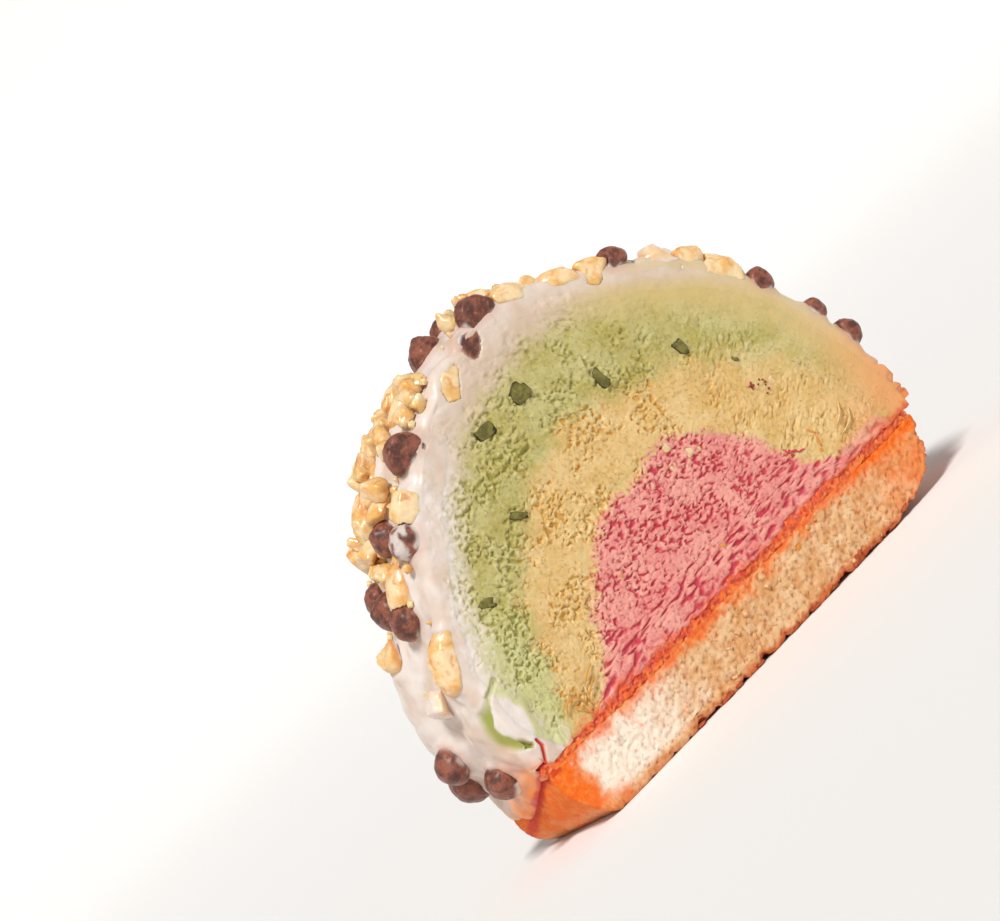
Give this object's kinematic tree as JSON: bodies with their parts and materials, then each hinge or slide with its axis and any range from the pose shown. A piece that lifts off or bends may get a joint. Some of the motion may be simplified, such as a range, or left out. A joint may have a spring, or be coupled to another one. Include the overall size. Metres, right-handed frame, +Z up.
{
  "type": "cassata ice cream slice",
  "caption": "Domed slice of layered ice cream on a sponge base, with a cream coat set with chocolate chips and peanuts, cut on both faces.",
  "frame": {"origin": "middle of the underside, where the slice stands", "axes": "+Z up out of the sponge base, +X along the base from the end with the lower chips to the other end, +Y through the slice from the shown cut face to the other cut face"},
  "size_m": [0.1082, 0.027, 0.08],
  "materials": {
    "strawberry_ice_cream": "matte, crystalline, scraped by the knife",
    "vanilla_ice_cream": "matte, lumpy",
    "pistachio_ice_cream": "matte, pitted",
    "whipped_cream": "smooth, soft sheen",
    "red_syrup": "wet gloss",
    "sponge_cake": "porous crumb, stained orange at its ends",
    "chocolate": "satin, dusty with frost",
    "peanut": "roasted, oily sheen"
  },
  "bodies": {
    "root": {"sponge_base": "sponge_cake", "syrup_layer": "red_syrup", "strawberry_core": "strawberry_ice_cream", "vanilla_layer": "vanilla_ice_cream", "pistachio_layer": "pistachio_ice_cream", "cream_coat": "whipped_cream", "peanut_half_01": "peanut", "choc_chip_01": "chocolate", "peanut_chunk_01": "peanut", "choc_chip_02": "chocolate", "peanut_chunk_02": "peanut", "choc_chip_03": "chocolate", "choc_chip_04": "chocolate", "peanut_half_02": "peanut", "peanut_half_03": "peanut", "peanut_chunk_03": "peanut", "choc_chip_05": "chocolate", "peanut_chunk_04": "peanut", "peanut_chunk_05": "peanut", "peanut_half_04": "peanut", "choc_chip_06": "chocolate", "choc_chip_07": "chocolate", "choc_chip_08": "chocolate", "choc_chip_09": "chocolate", "peanut_chunk_06": "peanut", "choc_chip_10": "chocolate", "peanut_half_05": "peanut", "choc_chip_11": "chocolate", "peanut_chunk_07": "peanut", "peanut_half_06": "peanut", "choc_chip_12": "chocolate", "peanut_chunk_08": "peanut", "peanut_chunk_09": "peanut", "peanut_chunk_10": "peanut", "choc_chip_13": "chocolate", "choc_chip_14": "chocolate", "peanut_chunk_11": "peanut", "choc_chip_15": "chocolate", "peanut_chunk_12": "peanut", "peanut_half_07": "peanut", "peanut_chunk_13": "peanut", "choc_chip_16": "chocolate", "peanut_chunk_14": "peanut", "peanut_half_08": "peanut", "choc_chip_17": "chocolate", "peanut_half_09": "peanut", "choc_chip_18": "chocolate", "choc_chip_19": "chocolate", "choc_chip_20": "chocolate", "peanut_chunk_15": "peanut", "peanut_chunk_16": "peanut", "peanut_chunk_17": "peanut", "peanut_half_10": "peanut", "peanut_chunk_18": "peanut", "choc_chip_21": "chocolate", "choc_chip_22": "chocolate", "peanut_half_11": "peanut", "choc_chip_23": "chocolate"}
  },
  "joints": []
}
